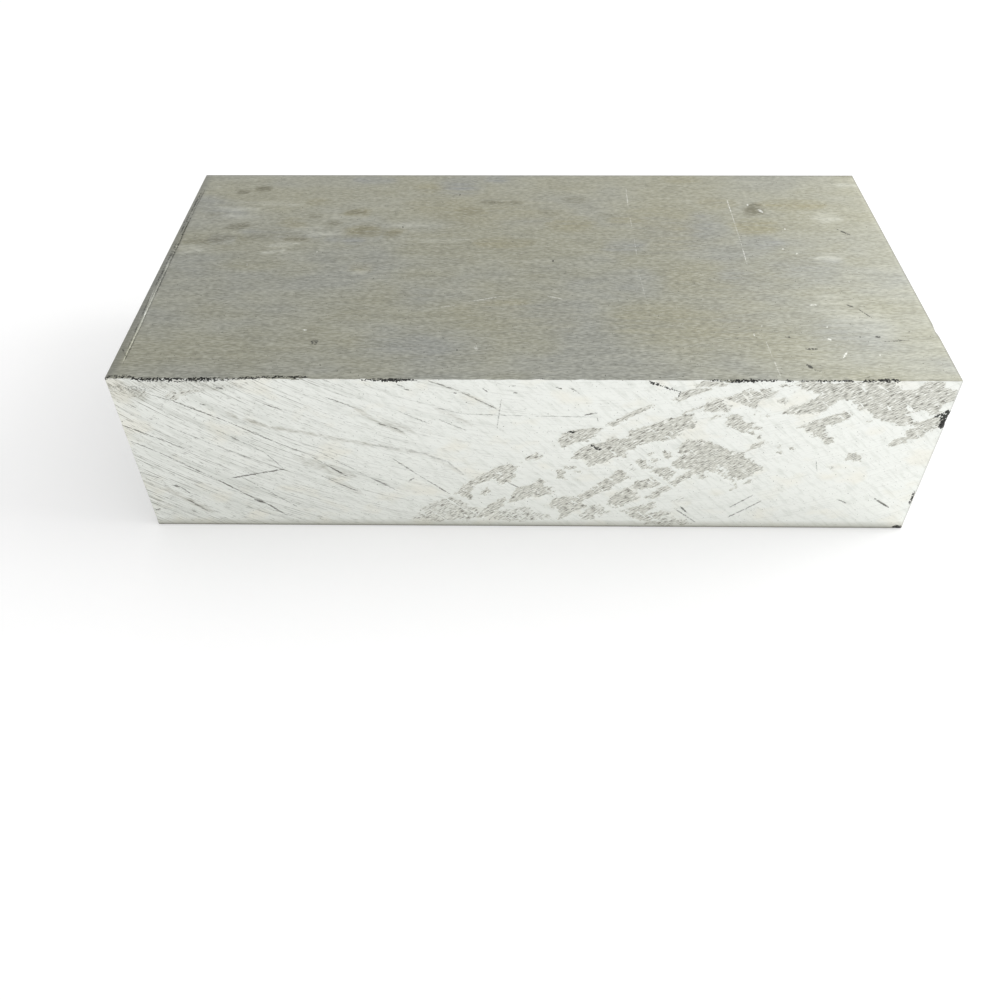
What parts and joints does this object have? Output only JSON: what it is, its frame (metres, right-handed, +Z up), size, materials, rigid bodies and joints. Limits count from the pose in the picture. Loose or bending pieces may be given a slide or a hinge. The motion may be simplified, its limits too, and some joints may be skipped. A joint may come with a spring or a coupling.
{
  "type": "aluminium plate block",
  "caption": "Rectangular block sawn from thick rolled aluminium plate, with mill-finish faces, rough saw-cut sides and bruised edges; stock to machine.",
  "frame": {"origin": "middle of the lower rolled face, which the block lies on", "axes": "+X along the length, +Z up through the plate's thickness, -Y out of the sawn face at the front"},
  "size_m": [0.2056, 0.106, 0.0508],
  "materials": {
    "aluminium": "mill finish on the rolled faces, saw-cut on the sides"
  },
  "bodies": {
    "root": {"plate": "aluminium"}
  },
  "joints": []
}
